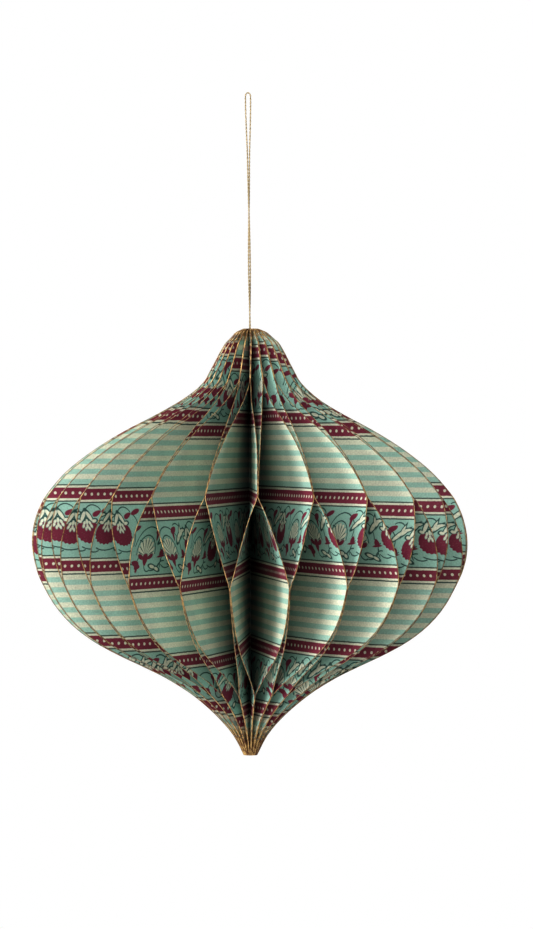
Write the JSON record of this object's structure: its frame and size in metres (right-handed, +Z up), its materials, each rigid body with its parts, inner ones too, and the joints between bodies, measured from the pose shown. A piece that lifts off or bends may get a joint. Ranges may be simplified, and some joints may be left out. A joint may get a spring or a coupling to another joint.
{
  "type": "honeycomb paper ornament",
  "caption": "Onion-shaped hanging ornament of printed paper leaves glued into honeycomb cells round a core, with gilt edges and a thin loop of gold cord.",
  "frame": {"origin": "inside top of the hanging loop, where the hook carries it", "axes": "+Z up along the core of the fan and out of the loop; the front of the fan faces -Y"},
  "size_m": [0.1499, 0.1499, 0.2285],
  "materials": {
    "printed_paper": "matt cotton paper, block printed on both sides, with a gilt cut edge",
    "gold_cord": "thin twisted metallic gold thread"
  },
  "bodies": {
    "root": {"leaf_01": "printed_paper", "leaf_02": "printed_paper", "leaf_03": "printed_paper", "leaf_04": "printed_paper", "leaf_05": "printed_paper", "leaf_06": "printed_paper", "leaf_07": "printed_paper", "leaf_08": "printed_paper", "leaf_09": "printed_paper", "leaf_10": "printed_paper", "leaf_11": "printed_paper", "leaf_12": "printed_paper", "leaf_13": "printed_paper", "leaf_14": "printed_paper", "leaf_15": "printed_paper", "leaf_16": "printed_paper", "leaf_17": "printed_paper", "leaf_18": "printed_paper", "leaf_19": "printed_paper", "leaf_20": "printed_paper", "leaf_21": "printed_paper", "leaf_22": "printed_paper", "leaf_23": "printed_paper", "leaf_24": "printed_paper", "leaf_25": "printed_paper", "leaf_26": "printed_paper", "leaf_27": "printed_paper", "leaf_28": "printed_paper", "leaf_29": "printed_paper", "leaf_30": "printed_paper", "leaf_31": "printed_paper", "leaf_32": "printed_paper", "leaf_33": "printed_paper", "leaf_34": "printed_paper", "leaf_35": "printed_paper", "leaf_36": "printed_paper", "leaf_37": "printed_paper", "leaf_38": "printed_paper", "leaf_39": "printed_paper", "leaf_40": "printed_paper", "leaf_41": "printed_paper", "leaf_42": "printed_paper", "leaf_43": "printed_paper", "leaf_44": "printed_paper", "leaf_45": "printed_paper", "leaf_46": "printed_paper", "leaf_47": "printed_paper", "leaf_48": "printed_paper", "hanging_loop": "gold_cord"}
  },
  "joints": []
}
